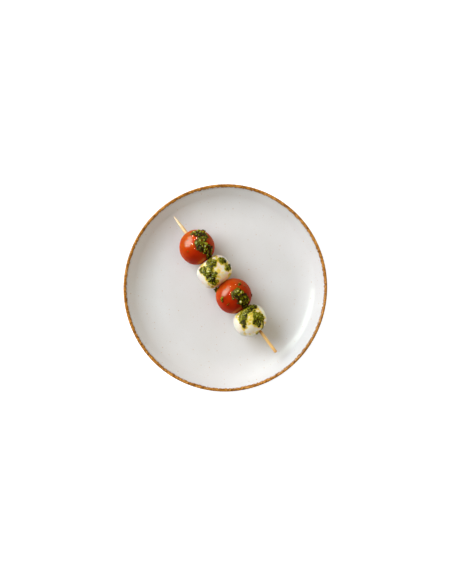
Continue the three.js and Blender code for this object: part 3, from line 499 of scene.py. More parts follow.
def tomato_skin():
    """Ripe cherry tomato skin, waxy and oiled: sharp highlights over flesh that glows red, more
    orange on one side, with pale pores a quarter of a millimetre wide. The swing from orange to
    deep red is partly ripening and partly painted shade, deepest on the side away from the window."""
    numbers = {
        "Roughness": 0.3, "IOR": 1.4, "Specular IOR Level": 0.0,
        "Coat Weight": 0.2, "Coat Roughness": 0.02, "Coat IOR": 1.5,
        # the waxy bloom, seen where the skin turns away
        "Sheen Weight": 0.16, "Sheen Roughness": 0.4, "Sheen Tint": linear("ffb890"),
        "Subsurface Weight": 0.7, "Subsurface Radius": (1.0, 0.16, 0.05), "Subsurface Scale": 0.006,
    }
    material, tree, surface, place = new_material("tomato_skin", numbers)
    # partly ripening, partly painted shade: the colour runs to deeper red on the side away from the window
    ripeness_and_shade = add(tree, "Attribute", out="Fac", attribute_name="ripeness_and_shade")
    flush = add(tree, "TexNoise", {"Vector": place, "Scale": 0.12, "Detail": 3.0})
    drift = add(
        tree, "MapRange", {"Value": flush, "From Min": 0.3, "From Max": 0.7, "To Min": -0.12, "To Max": 0.12}
    )
    shade = add(tree, "Math", {0: ripeness_and_shade, 1: drift}, operation="ADD")
    flesh = add(
        tree,
        "ValToRGB",
        {"Fac": shade},
        [(0.0, "ab4c07"), (0.3, "b34406"), (0.55, "bc3f06"), (0.75, "b02c05"), (1.0, "941503")],
    )
    # green-brown oil gathers between the dabs of pesto; its darkness is partly painted shade from the pesto,
    # and painted shade also browns the upper side away from the window
    oil_and_shade = add(tree, "Attribute", out="Fac", attribute_name="oil_and_shade")
    veil = add(tree, "MapRange", {"Value": oil_and_shade, "To Min": 0.0, "To Max": 0.8})
    flesh = add(tree, "Mix", {0: veil, 6: flesh, 7: linear("4e2606")}, out=2, data_type="RGBA")
    # painted reflection: the pale cheese next to it shows as a tan patch in its oily end
    near = add(tree, "Attribute", out="Fac", attribute_name="cheese_reflection")
    flesh = add(tree, "Mix", {0: near, 6: flesh, 7: linear("b05c26")}, out=2, data_type="RGBA")
    # pores: one to a cell of 1.6 mm
    pores = add(tree, "TexVoronoi", {"Vector": place, "Scale": 1 / 1.6})
    dot = add(
        tree, "MapRange", {"Value": pores, "From Min": 0.05, "From Max": 0.1, "To Min": 0.22, "To Max": 0.0}
    )
    colour = add(tree, "Mix", {0: dot, 6: flesh, 7: linear("e07a3a")}, out=2, data_type="RGBA")
    swell = add(tree, "TexNoise", {"Vector": place, "Scale": 0.25, "Detail": 2.0})
    relief = add(tree, "Bump", {"Strength": 0.025, "Distance": 0.0006, "Height": swell})
    feed(surface, {"Base Color": colour, "Normal": relief, "Coat Normal": relief})
    return material


def fresh_mozzarella():
    """Fresh mozzarella: moist, ivory, light soaks into it; a fine drawn-curd skin with shallow
    folds, and olive oil stains it yellow round the pesto."""
    numbers = {
        "Roughness": 0.38, "IOR": 1.4, "Specular IOR Level": 0.15,
        "Coat Weight": 0.1, "Coat Roughness": 0.1, "Coat IOR": 1.45,
        "Subsurface Weight": 0.85, "Subsurface Radius": (1.0, 0.7, 0.4), "Subsurface Scale": 0.0045,
    }
    material, tree, surface, place = new_material("fresh_mozzarella", numbers)
    curd = add(tree, "TexNoise", {"Vector": place, "Scale": 0.16, "Detail": 4.0})
    ivory = add(tree, "ValToRGB", {"Fac": curd}, [(0.3, "f1e2cb"), (0.5, "f5ead6"), (0.7, "f9f1e2")])
    # painted bounce light: the cheese glows warm where a tomato's lit side faces it
    tomato_bounce = add(tree, "Attribute", out="Fac", attribute_name="tomato_bounce")
    ivory = add(tree, "Mix", {0: tomato_bounce, 6: ivory, 7: linear("f0b078")}, out=2, data_type="RGBA")
    soaked = add(tree, "Attribute", out="Fac", attribute_name="oil")
    patchy = add(tree, "TexNoise", {"Vector": place, "Scale": 0.55, "Detail": 4.0, "Roughness": 0.6})
    swing = add(
        tree, "MapRange", {"Value": patchy, "From Min": 0.3, "From Max": 0.7, "To Min": 0.72, "To Max": 1.18}
    )
    stain = add(tree, "Math", {0: soaked, 1: swing}, operation="MULTIPLY", use_clamp=True)
    oil = add(
        tree,
        "ValToRGB",
        {"Fac": stain},
        [(0.1, "fbeccb"), (0.32, "f9df92"), (0.55, "edd05a"), (0.75, "d3ba30"), (1.0, "9a900c")],
    )
    amount = add(tree, "MapRange", {"Value": stain, "From Min": 0.03, "From Max": 0.4})
    colour = add(tree, "Mix", {0: amount, 6: ivory, 7: oil}, out=2, data_type="RGBA")
    wrinkles = add(tree, "TexNoise", {"Vector": place, "Scale": 0.9, "Detail": 4.0, "Distortion": 0.6})
    relief = add(tree, "Bump", {"Strength": 0.3, "Distance": 0.0005, "Height": wrinkles})
    feed(surface, {"Base Color": colour, "Normal": relief})
    return material


def basil_pesto():
    """Chopped basil in olive oil: dark wet leaf with yellow-green cut edges and pale crumbs of
    cheese and pine nut. Each leaf's tone is its own; the darkest tones are partly painted shade
    between the leaves, and the palest partly painted glints."""
    numbers = {
        "Roughness": 0.45, "IOR": 1.4, "Specular IOR Level": 0.0,
        "Coat Weight": 0.26, "Coat Roughness": 0.04, "Coat IOR": 1.47,
        "Subsurface Weight": 0.15, "Subsurface Radius": (0.6, 1.0, 0.2), "Subsurface Scale": 0.0006,
    }
    material, tree, surface, place = new_material("basil_pesto", numbers)
    tone = add(tree, "Attribute", out="Fac", attribute_name="tone")
    shred = add(tree, "TexNoise", {"Vector": place, "Scale": 1.6, "Detail": 4.0, "Roughness": 0.65})
    swing = add(
        tree, "MapRange", {"Value": shred, "From Min": 0.3, "From Max": 0.7, "To Min": -0.08, "To Max": 0.08}
    )
    shade = add(tree, "Math", {0: tone, 1: swing}, operation="ADD", use_clamp=True)
    leaf = add(
        tree,
        "ValToRGB",
        {"Fac": shade},
        [
            (0.0, "221003"), (0.15, "352a02"), (0.32, "5c5903"), (0.48, "7d7e08"), (0.64, "a19f1c"),
            (0.8, "c4bb3c"), (0.92, "e0d670"), (1.0, "f0ecc4"),
        ],
    )
    relief = add(tree, "Bump", {"Strength": 0.4, "Distance": 0.0003, "Height": shred})
    feed(surface, {"Base Color": leaf, "Normal": relief})
    return material


def olive_oil():
    """Olive oil with a little basil green in it: clear, pale yellow, mirror-smooth."""
    numbers = {"Roughness": 0.02, "IOR": 1.47, "Transmission Weight": 1.0}
    material, tree, surface, place = new_material("olive_oil", numbers)
    tint = add(tree, "TexNoise", {"Vector": place, "Scale": 0.8, "Detail": 2.0})
    colour = add(tree, "ValToRGB", {"Fac": tint}, [(0.3, "f2e6a0"), (0.7, "fbf6d2")])
    feed(surface, {"Base Color": colour})
    return material


def white_table():
    """A plain white studio table, lit so brightly that it reads as paper white."""
    numbers = {
        "Roughness": 0.8, "Specular IOR Level": 0.1,
        "Base Color": linear("c4c4c4"), "Emission Color": linear("ffffff"),
    }
    material, tree, surface, _ = new_material("white_table", numbers)
    seen = add(tree, "LightPath", out="Is Camera Ray")
    feed(surface, {"Emission Strength": add(tree, "Math", {0: seen, 1: 0.83}, operation="MULTIPLY")})
    return material


# ---------------------------------------------------------------- the plate


def plate_section():
    """The plate's half section as (radius, height), from the floor's middle to the base's."""
    wall_top = (PLATE_RADIUS - 2 * LIP, PLATE_HEIGHT - 2.2)
    lip_end = (PLATE_RADIUS, PLATE_HEIGHT - 2)
    foot_top = (FOOT_OUTER_RADIUS + 3, 2.2)
    floor = [(r, FLOOR_HEIGHT) for r in np.arange(1.5, FLOOR_RADIUS + 0.1, 1.5)]
    curve = cubic(
        floor[-1], (FLOOR_RADIUS + 8, FLOOR_HEIGHT), (WALL_FOOT[0] - 5, WALL_FOOT[1] - 3.8), WALL_FOOT, 26
    )
    wall = [np.array(WALL_FOOT) + (np.array(wall_top) - WALL_FOOT) * t for t in np.linspace(0.1, 1, 12)]
    lip = cubic(wall_top, (wall_top[0] + 1, PLATE_HEIGHT), (PLATE_RADIUS, PLATE_HEIGHT + 0.6), lip_end, 20)
    outside = cubic(lip_end, (PLATE_RADIUS - 1.5, 11), (80, 4.4), foot_top, 40)
    foot = [
        (FOOT_OUTER_RADIUS + 1.3, 1.0), (FOOT_OUTER_RADIUS + 0.3, 0.25), (FOOT_OUTER_RADIUS - 0.4, 0.0),
        (FOOT_INNER_RADIUS + 0.4, 0.0), (FOOT_INNER_RADIUS - 0.2, 0.2), (FOOT_INNER_RADIUS - 0.9, 0.9),
        (FOOT_INNER_RADIUS - 1.8, FOOT_RECESS),
    ]
    base = [(r, FOOT_RECESS) for r in np.linspace(FOOT_INNER_RADIUS - 4, 2, 16)]
    return np.vstack([floor, curve, wall, lip, outside, foot, base])


def millimetres_inside_rim(section):
    """How far each point of the section lies inside the bare rim, and past its inner border."""
    steps = np.hypot(*np.diff(section, axis=0).T)
    along = np.concatenate([[0], np.cumsum(steps)])
    crest = int(np.argmax(section[:, 1]))
    start = along[int(np.argmax(section[:, 0] > BARE_RIM_START))]
    end = along[crest + int(np.argmax(section[crest:, 1] < BARE_RIM_END))]
    inside = np.clip(np.minimum(along - start, end - along), -RIM_CLIP, RIM_CLIP)
    return inside, np.clip(along - start, -RIM_CLIP, 2 * RIM_CLIP)


def build_plate(material):
    section = plate_section()
    points, rim, climb = [], [], []
    turns = np.linspace(0, 2 * math.pi, PLATE_SIDES, endpoint=False)
    for (radius, height), inside, past in zip(section, *millimetres_inside_rim(section)):
        above = height > 3 and radius > 30
        for turn in turns:
            c, s = math.cos(turn), math.sin(turn)
            # a hand-turned plate wavers by a tenth or two of a millimetre, most at the rim
            waver = noise.noise(Vector((1.7 * c, 1.7 * s, 0.3))) if above else 0.0
            reach = smooth_step(radius, 30, 90)
            r = radius + 0.16 * reach * noise.noise(Vector((2.4 * c, 2.4 * s, 5.0))) if above else radius
            points.append((r * c, r * s, height + 0.22 * reach * waver))
        rim += [inside] * PLATE_SIDES
        climb += [past] * PLATE_SIDES
    points += [(0, 0, FLOOR_HEIGHT), (0, 0, FOOT_RECESS)]
    rim += [-RIM_CLIP, -RIM_CLIP]
    climb += [-RIM_CLIP, 2 * RIM_CLIP]
    points = np.array(points)
    c, s = math.cos(PLATE_OVAL_TURN), math.sin(PLATE_OVAL_TURN)
    turn = np.array([[c, -s], [s, c]])
    oval = turn @ np.diag([1 - PLATE_OVAL, 1 + PLATE_OVAL]) @ turn.T
    points[:, :2] = points[:, :2] @ oval.T
    faces = closed_rings(len(section), PLATE_SIDES)
    piece = make_piece("stoneware_plate", points, faces, material, {"rim": rim, "rim_climb": climb})
    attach(piece, "root")
    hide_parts("plate")


# ---------------------------------------------------------------- the stick


def build_stick(material):
    """A round stick, whittled to a point: fine grooves run along it, and its blunt end is sawn."""
    point_part, rest = np.linspace(0.8, 18, 18), np.linspace(21, STICK_LENGTH - 0.35, 50)
    stations = np.concatenate([[0.0, 0.25], point_part, rest, [STICK_LENGTH]])
    points = []
    for x in stations:
        behind_taper = max(0.0, x - STICK_TAPER[-1][0]) / STICK_LENGTH
        radius = STICK_RADIUS + (STICK_END_RADIUS - STICK_RADIUS) * behind_taper
        radius *= np.interp(x, *zip(*STICK_TAPER))
        if x == 0:
            radius = STICK_TIP_RADIUS
        if x == STICK_LENGTH:
            radius -= STICK_END_BEVEL
        for j in range(STICK_SIDES):
            turn = 2 * math.pi * j / STICK_SIDES
            c, s = math.cos(turn), math.sin(turn)
            groove = noise.noise(Vector((0.03 * x, 3.2 * c, 3.2 * s)))
            facet = noise.noise(Vector((0.012 * x, 1.1 * c + 4, 1.1 * s)))
            r = radius * (1 + 0.035 * groove + 0.03 * facet)
            points.append((x, STICK_Y + r * c, r * s))
    points += [(-0.05, STICK_Y, 0), (STICK_LENGTH + 0.02, STICK_Y, 0)]
    faces = [face[::-1] for face in closed_rings(len(stations), STICK_SIDES)]
    piece = lay_on_plate(make_piece("bamboo_skewer", points, faces, material))
    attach(piece, "root")
    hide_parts("bamboo_stick")


# ---------------------------------------------------------------- tomatoes and mozzarella


def section_radius(ball, x):
    """The radius of a ball's round section at x from its middle."""
    length, squareness = ball["start"] if x < 0 else ball["end"]
    share = min(1.0, abs(x) / length)
    return ball["radius"] * (1 - share**squareness) ** (1 / squareness)


def unevenness(ball, x, turn):
    """How far a ball is from round, as a share of its radius."""
    depth = 0.014 if ball["cheese"] else 0.005
    waves = math.sin(2 * turn + ball["x"]) + 0.7 * math.sin(3 * turn - 0.2 * x + 2 * ball["x"])
    return depth * waves * (1 - min(1, abs(x) / ball["radius"]) ** 2)


def surface_radius(ball, x, turn):
    return section_radius(ball, x) * (1 + unevenness(ball, x, turn))


def end_of_tomato(tomato, side, y, z):
    """Where along the stick a tomato's skin is, on its side -1 or 1, at a place across the stick."""
    length, squareness = tomato["start"] if side < 0 else tomato["end"]
    off = math.hypot(y - tomato["y"], z - tomato["z"]) / tomato["radius"]
    if off >= 1:
        return None
    return tomato["x"] + side * (length * (1 - off**squareness) ** (1 / squareness) + GAP / 2)


def knot_height(x, y, knot):
    """The knot where a ball of curd was pinched off: a low knob with a groove round most of it."""
    middle_x, middle_y, reach = knot
    off = math.hypot(x - middle_x, y - middle_y)
    turn = math.atan2(y - middle_y, x - middle_x)
    open_side = smooth_step(abs(turn), 1.2, 1.9)  # the groove fades out towards the stick's blunt end
    groove = 0.26 * open_side * math.exp(-(((off - reach) / 0.8) ** 2))
    return 0.12 * math.exp(-((off / reach) ** 4)) - groove


def body_points(ball):
    """A ball's skin as rings round the stick, from its start to its end."""
    pinch, pinch_reach = (0.9, 2.4) if ball["cheese"] else (0.6, 2.0)  # where the stick draws it in
    seed = Vector((ball["seed"], 0, 0))
    points = []
    for i in range(1, BALL_RINGS):
        lean = math.pi * i / BALL_RINGS
        u, v = -math.cos(lean), math.sin(lean)
        length, squareness = ball["start"] if u < 0 else ball["end"]
        power = 2 / squareness
        for j in range(BALL_SIDES):
            turn = 2 * math.pi * j / BALL_SIDES
            x = math.copysign(length * abs(u) ** power, u)
            radius = ball["radius"] * v**power * (1 + unevenness(ball, x, turn))
            across = Vector((0, math.cos(turn), math.sin(turn)))
            at = Vector((x, 0, 0)) + across * radius
            outward = Vector((x / length, across.y * radius / 15, across.z * radius / 15)).normalized()
            if ball["cheese"]:
                swell = 0.3 * noise.noise(at / 7 + seed) + 0.1 * noise.noise(at / 2.6 + seed)
                fold = noise.noise(Vector((at.x / 5, turn * 2.2, ball["seed"])))
                swell -= 0.16 * max(0.0, 1 - abs(fold) * 9) * smooth_step(abs(u), 0.2, 0.9)
            else:
                swell = 0.12 * noise.noise(at / 9 + seed) + 0.015 * noise.noise(at / 1.5 + seed)
            if "knot" in ball and at.z > 0:
                swell += knot_height(at.x + ball["x"], at.y + ball["y"], ball["knot"])
            at += outward * swell
            radius = math.hypot(at.y, at.z)
            at.x -= math.copysign(pinch * math.exp(-((radius / pinch_reach) ** 2)), u)
            points.append([ball["x"] + at.x, ball["y"] + at.y, ball["z"] + at.z])
    poles = [
        [ball["x"] - ball["start"][0] + pinch, ball["y"], ball["z"]],
        [ball["x"] + ball["end"][0] - pinch, ball["y"], ball["z"]],
    ]
    return points + poles, [face[::-1] for face in closed_rings(BALL_RINGS - 1, BALL_SIDES)]


def dent_cheese(ball, points):
    """Presses the soft cheese in where the tomatoes push against it."""
    for point in points:
        for tomato in BALLS.values():
            if tomato["cheese"]:
                continue
            side = 1 if tomato["x"] < ball["x"] else -1
            skin = end_of_tomato(tomato, side, point[1], point[2])
            if skin is not None and abs(tomato["x"] - ball["x"]) < NEIGHBOUR_REACH:
                point[0] = max(point[0], skin) if side > 0 else min(point[0], skin)


def seen_from_above(x, y, height):
    """Moves a place read in the photo, at the stick's height, to another height above the stick."""
    dx, dy = CAMERA_OVER[0] - POINT[0], CAMERA_OVER[1] - POINT[1]
    c, s = math.cos(SKEWER_TURN), math.sin(SKEWER_TURN)
    over_x, over_y = dx * c + dy * s, dy * c - dx * s
    shrink = 1 - height / CAMERA_RISE
    return over_x + (x - over_x) * shrink, over_y + (y - over_y) * shrink


def on_ball(ball, x, y):
    """The place on a ball's upper side that the photo shows at (x, y), and the way out of it."""
    height, ends = 10.0, 0.985
    for _ in range(3):
        px, py = seen_from_above(x, y, height)
        dx = min(max(px - ball["x"], -ends * ball["start"][0]), ends * ball["end"][0])
        radius = surface_radius(ball, dx, math.pi / 2)
        dy = min(max(py - ball["y"], -ends * radius), ends * radius)
        rise = math.sqrt(max(0.0, radius**2 - dy**2))
        height = ball["z"] + rise
    lean = (section_radius(ball, dx - 0.3) - section_radius(ball, dx + 0.3)) / 0.6
    out = Vector((lean, dy / radius, rise / radius)).normalized()
    return Vector((ball["x"] + dx, ball["y"] + dy, height)), out


def pesto_tree(key):
    """A search tree of the places where the pesto lies on a ball."""
    tree = kdtree.KDTree(len(PESTO[key]))
    for index, (x, y, *_) in enumerate(PESTO[key]):
        tree.insert(on_ball(BALLS[key], x, y)[0], index)
    tree.balance()
    return tree


def oil_and_shade_amount(key, points):
    """How much each point of a tomato is darkened to brown: oil gathers between dabs of pesto,
    together with painted shade from the pesto, and painted shade darkens the upper side away from the
    window."""
    tree = pesto_tree(key)
    amounts = []
    for point in points:
        crowd = 0.0
        for _, index, distance in tree.find_n(Vector(point), 6):
            crowd += math.exp(-((distance / (PESTO[key][index][2] + 0.6)) ** 2))
        # painted shade: the upper side, turned away from the window, is browned
        thin = 0.3 * smooth_step(point[1], 5.0, 13.0) if point[2] > 0 else 0.0
        amounts.append(max(thin, smooth_step(crowd, 0.5, 1.2)))
    return amounts


def cheese_reflection_amount(ball, points):
    """How strongly each point of a tomato carries the painted reflection of the cheese after it on the
    stick.
    """
    amounts = np.zeros(len(points))
    for cheese in BALLS.values():
        if not cheese["cheese"] or not 0 < cheese["x"] - ball["x"] < NEIGHBOUR_REACH:
            continue
        ahead = cheese["x"] - cheese["start"][0] - np.array(points)[:, 0]
        down = np.array(points)[:, 1] - cheese["y"]
        shown = smooth_step(ahead, 0.2, 1.2) * (1 - smooth_step(ahead, 1.6, 3.4))
        amounts = 0.85 * shown * (1 - smooth_step(down, -1.5, 2.5))
    return amounts


def tomato_bounce_amount(ball, points):
    """How near each point of the cheese is to the lit side of the tomato next to it, for its painted bounce
    light.
    """
    amounts = np.zeros(len(points))
    for tomato in BALLS.values():
        if tomato["cheese"] or not 0 < tomato["x"] - ball["x"] < NEIGHBOUR_REACH:
            continue
        middle = np.array([tomato["x"], tomato["y"], tomato["z"]])
        off = np.linalg.norm(np.array(points) - middle, axis=1) - tomato["radius"]
        amounts = 1 - smooth_step(off, 0.5, 9.5)
    return amounts


def oil_amount(key, points):
    """How much oil has soaked into each point of the cheese: round the pesto, and in stains."""
    ball = BALLS[key]
    tree = pesto_tree(key)
    stains = [(on_ball(ball, s[0], s[1])[0], s[2:]) for s in OIL_STAINS[key]]
    amounts = []
    for point in points:
        amount = 0.0
        for _, index, distance in tree.find_n(Vector(point), 4):
            halo = 1.0 - smooth_step(distance - PESTO[key][index][2], -0.1, 2.1)
            amount = max(amount, 0.88 * halo)
        for at, (half_length, half_width, strength) in stains:
            if point[2] < ball["z"] - 6:
                continue
            off = math.hypot((point[0] - at.x) / half_length, (point[1] - at.y) / half_width)
            off *= 1 + 0.7 * noise.noise(Vector(point) / 1.7)
            amount = max(amount, strength * (1.0 - smooth_step(off, 0.2, 1.5)))
        amounts.append(amount)
    return amounts


def build_body(key, material):
    """A ball's own skin, with what its material reads at each point."""
    ball = BALLS[key]
    points, faces = body_points(ball)
    if ball["cheese"]:
        dent_cheese(ball, points)
        values = {"oil": oil_amount(key, points), "tomato_bounce": tomato_bounce_amount(ball, points)}
    else:
        # deepest red on the side that faces the blunt end, away from the window, and most orange near the
        # point: partly ripening, partly painted shade
        ripe_and_shaded_way = Vector((0.9, -0.1, 0.3)).normalized()
        middle = Vector((ball["x"], ball["y"], ball["z"]))
        facing = np.array([ripe_and_shaded_way.dot((Vector(p) - middle).normalized()) for p in points])
        values = {
            "ripeness_and_shade": ball["ripe_and_shade"] + (1 - ball["ripe_and_shade"]) * (0.5 + 0.5 * facing),
            "oil_and_shade": oil_and_shade_amount(key, points),
            "cheese_reflection": cheese_reflection_amount(ball, points),
        }
    piece = lay_on_plate(make_piece(f"{key}_body", points, faces, material, values))
    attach(piece, "root")
    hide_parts(NODES[key])


# ---------------------------------------------------------------- pesto


def ball_template(level):
    """The points and triangles of an even ball of radius 1."""
    shape = bmesh.new()
    bmesh.ops.create_icosphere(shape, subdivisions=level, radius=1.0)
    points = np.array([v.co[:] for v in shape.verts])
    faces = [tuple(v.index for v in f.verts) for f in shape.faces]
    shape.free()
    return points, faces


ROUND = ball_template(2)


class Heap:
    """Many small closed shapes that make one mesh, with a tone for each point."""

    def __init__(self):
        self.points, self.faces, self.tones = [], [], []

    def put(self, points, faces, tone):
        first = len(self.points)
        self.points += [tuple(p) for p in points]
        self.faces += [tuple(first + i for i in face) for face in faces]
        self.tones += [tone] * len(points)


def frame_on(out, spin):
    """A 3 x 3 matrix whose columns are two ways along the skin and the way out of it."""
    side = out.orthogonal().normalized()
    side = Matrix.Rotation(spin, 3, out) @ side
    return np.array([side, out.cross(side), out]).T


def put_grain(heap, at, out, size, height, tone, chance):
    """A soft crumb: a ball with a lumpy skin, squashed onto what it lies on."""
    points, faces = ROUND
    shift = Vector((chance.uniform(0, 50), chance.uniform(0, 50), chance.uniform(0, 50)))
    lumpy = np.array([p * (1 + 0.45 * noise.noise(Vector(p) * 1.8 + shift)) for p in points])
    stretch = np.array([size * chance.uniform(0.85, 1.25), size * chance.uniform(0.8, 1.1), height])
    turned = (lumpy * stretch) @ frame_on(out, chance.uniform(0, 2 * math.pi)).T
    heap.put(turned + np.array(at), faces, tone)


def put_leaf(heap, at, out, size, tone, chance, spread=0.3):
    """A chopped bit of leaf: a thin curled scrap with a ragged outline, rounded by its oil."""
    count = chance.randint(8, 10)
    tilt = Vector((chance.gauss(0, spread), chance.gauss(0, spread), chance.gauss(0, spread / 2)))
    axes = frame_on((out + tilt).normalized(), chance.uniform(0, 2 * math.pi))
    curl, thickness = chance.uniform(-0.3, 0.5) * spread, chance.uniform(0.12, 0.22)
    slender = chance.uniform(0.55, 0.95)
    top, bottom = [(0.0, 0.0, thickness * 0.6)], [(0.0, 0.0, -thickness * 0.5)]
    reaches = [size * chance.uniform(0.75, 1.15) for _ in range(count)]
    for share, rise in ((0.7, 0.5), (1.0, 0.1)):
        for k, reach in enumerate(reaches):
            turn = 2 * math.pi * k / count
            u, v = share * reach * math.cos(turn), share * slender * reach * math.sin(turn)
            bend = curl * (u * u + 0.6 * v * v) / (size + 0.2)
            top.append((u, v, bend + rise * thickness))
    for k, reach in enumerate(reaches):
        turn = 2 * math.pi * k / count
        u, v = 0.85 * reach * math.cos(turn), 0.85 * slender * reach * math.sin(turn)
        bottom.append((u, v, curl * (u * u + 0.6 * v * v) / (size + 0.2) - 0.5 * thickness))
    points = (np.array(top + bottom) @ axes.T) + np.array(at)
    low = len(top)
    faces = []
    for k in range(count):
        near, far = 1 + k, 1 + (k + 1) % count
        faces += [(0, near, far), (near, near + count, far + count, far)]
        faces += [(near + count, low + near, low + far, far + count), (low, low + far, low + near)]
    heap.put(points, faces, tone)


def remeshed(heap, voxel):
    """The heap's shapes joined into one skin."""
    mesh = bpy.data.meshes.new("paste")
    mesh.from_pydata(heap.points, [], heap.faces)
    shape = bpy.data.objects.new("paste", mesh)
    bpy.context.scene.collection.objects.link(shape)
    merge = shape.modifiers.new("merge", "REMESH")
    merge.mode, merge.voxel_size = "VOXEL", voxel
    soften = shape.modifiers.new("soften", "SMOOTH")
    soften.iterations, soften.factor = 2, 0.5
    graph = bpy.context.evaluated_depsgraph_get()
    result = bpy.data.meshes.new_from_object(shape.evaluated_get(graph))
    points = [v.co.copy() for v in result.vertices]
    normals = [v.normal.copy() for v in result.vertices]
    faces = [tuple(p.vertices) for p in result.polygons]
    bpy.data.objects.remove(shape)
    bpy.data.meshes.remove(result)
    return points, normals, faces


def lift_to_window():
    """The way a wet leaf faces, in the skewer's frame, when it mirrors the window to the camera."""
    rise = math.atan2(0.5, WINDOW_DISTANCE)
    turn = WINDOW_TURN - SKEWER_TURN
    to_window = Vector((math.cos(turn) * math.cos(rise), math.sin(turn) * math.cos(rise), math.sin(rise)))
    return (to_window + Vector((0, 0, 1))).normalized()


def beside(at, out, most, chance):
    """A random place on a dab, up to most from its middle at."""
    way = Matrix.Rotation(chance.uniform(0, 2 * math.pi), 3, out) @ out.orthogonal().normalized()
    return at + way * (most * math.sqrt(chance.random()))


def build_pesto(key, material):
    """The paste that holds a ball's pesto together, with crumbs and leaves on top of it."""
    ball = BALLS[key]
    chance = random.Random(ball["seed"])
    bed, loose = Heap(), Heap()
    lighter = 0.0 if ball["cheese"] else -0.04  # on dark skin less light shines through the leaves
    lumps = [(*on_ball(ball, x, y), reach, tone) for x, y, reach, tone in PESTO[key]]
    for x, y, height, reach, tone in NOTCH_LUMPS.get(key, ()):
        away = Vector((0, y - ball["y"], height + 4)).normalized()
        lumps.append((Vector((x, y, height)), away, reach, tone))
    tones = kdtree.KDTree(len(lumps))
    for index, (at, out, reach, tone) in enumerate(lumps):
        tones.insert(at, index)
        # painted shade and glints: the bed and leaves keep a tone no lighter than the dark bed, and only the
        # pale crumbs keep a dab's lighter tone
        pale, tone = tone, min(tone, DARK_BED)
        thick = 0.5 if reach < 0.8 else 0.75
        cover = 0.95 if ball["cheese"] else 0.8
        put_grain(bed, at, out, reach * cover, thick * chance.uniform(0.8, 1.15), tone, chance)
        for _ in range(round(3 * reach**2)):
            size = chance.uniform(0.35, 0.6)
            place = beside(at, out, reach, chance) + out * (0.3 * thick)
            put_grain(bed, place, out, size, size * 0.8, tone, chance)
        for _ in range(1 + round(2.6 * reach**2)):
            size = chance.uniform(0.35, 0.62) * min(1, reach)
            own = min(0.85, max(0.0, tone + chance.gauss(lighter, 0.13)))
            place = beside(at, out, reach, chance) + out * (thick * chance.uniform(0.4, 0.9))
            put_grain(loose, place, out, size, size * 0.75, own, chance)
        for _ in range(1 + round(3.0 * reach**2)):
            own = min(0.9, max(0.0, tone + chance.gauss(lighter + 0.01, 0.14)))
            if chance.random() < 0.1:
                own = chance.uniform(0.6, 0.85)
            size = chance.uniform(0.35, 0.75) * min(1, reach)
            place = beside(at, out, reach, chance) + out * (thick * chance.uniform(0.8, 1.3))
            put_leaf(loose, place, out, size, own, chance)
        # painted glints in part: the palest dabs carry pale crumbs
        if pale > PALE_CRUMB:
            for _ in range(3):
                size = chance.uniform(0.28, 0.5) * min(1, reach)
                place = beside(at, out, 0.6 * reach, chance) + out * (thick + 0.25)
                put_grain(loose, place, out, size, size, chance.uniform(pale - 0.1, pale), chance)
    tones.balance()
    mirror = lift_to_window()
    for x, y, size, tone in WET_LEAVES[key]:
        at, out = on_ball(ball, x, y)
        put_leaf(loose, at + out * WET_LEAF_LIFT, mirror, size, tone, chance, spread=0.05)
    points, normals, faces = remeshed(bed, PASTE_VOXEL)
    shift = Vector((ball["seed"], 3, 7))
    paste, paste_tones = [], []
    for point, normal in zip(points, normals):
        rough = 0.14 * noise.noise(point * 1.5 + shift) + 0.09 * noise.noise(point * 3.4 + shift)
        paste.append(point + normal * rough)
        # painted shade: the paste under the loose leaves is darker, most on the tomatoes
        tone = min(DARK_BED, lumps[tones.find(point)[1]][3])
        paste_tones.append(tone * (0.62 if ball["cheese"] else 0.4) + 0.14 * noise.noise(point * 1.2))
    whole = Heap()
    whole.put(paste, faces, 0)
    whole.put(loose.points, loose.faces, 0)
    tones = {"tone": paste_tones + loose.tones}
    piece = lay_on_plate(make_piece(f"pesto_on_{key}", whole.points, whole.faces, material, tones))
    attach(piece, "root")
    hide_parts(NODES[key])


def build_oil_beads(key, material):
    """Flat drops of oil that cling to a tomato's skin beside the pesto."""
    ball = BALLS[key]
    chance = random.Random(ball["seed"] + 1)
    beads = Heap()
    points, faces = ball_template(3)
    for x, y, half_length, half_width, turn in OIL_BEADS[key]:
        at, out = on_ball(ball, x, y)
        along = Vector((math.cos(math.radians(turn)), math.sin(math.radians(turn)), 0))
        side = (along - out * along.dot(out)).normalized()
        axes = np.array([side, out.cross(side), out]).T
        height = 0.14 + 0.36 * half_width
        shift = Vector((chance.uniform(0, 50), 0, 0))
        lumpy = np.array([p * (1 + 0.25 * noise.noise(Vector(p) + shift)) for p in points])
        beads.put((lumpy * [half_length, half_width, height]) @ axes.T + np.array(at), faces, 0)
    piece = lay_on_plate(make_piece(f"oil_on_{key}", beads.points, beads.faces, material))
    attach(piece, "root")


# ---------------------------------------------------------------- light, camera and table


def build_table(material):
    corners = [(x * TABLE_REACH, y * TABLE_REACH, 0) for x, y in ((-1, -1), (1, -1), (1, 1), (-1, 1))]
    table = make_piece("white_table", corners, [(0, 1, 2, 3)], material, smooth=False)
    table.location.z = -TABLE_GAP * MM


def hang_pane(name, low, high, radiance):
    """One band of the tall window beside the table, between two heights in metres."""
    strength = max(radiance)
    lamp = bpy.data.lights.new(name, "AREA")
    lamp.shape, lamp.size, lamp.size_y = "RECTANGLE", WINDOW_WIDTH, high - low
    lamp.color = [channel / strength for channel in radiance]
    lamp.energy = strength * math.pi * WINDOW_WIDTH * (high - low)
    pane = bpy.data.objects.new(name, lamp)
    away = WINDOW_DISTANCE * Vector((math.cos(WINDOW_TURN), math.sin(WINDOW_TURN)))
    pane.location = (*away, (low + high) / 2)
    pane.rotation_euler = (math.radians(90), 0, WINDOW_TURN + math.radians(90))
    pane.visible_camera = False
    bpy.context.scene.collection.objects.link(pane)
    return pane


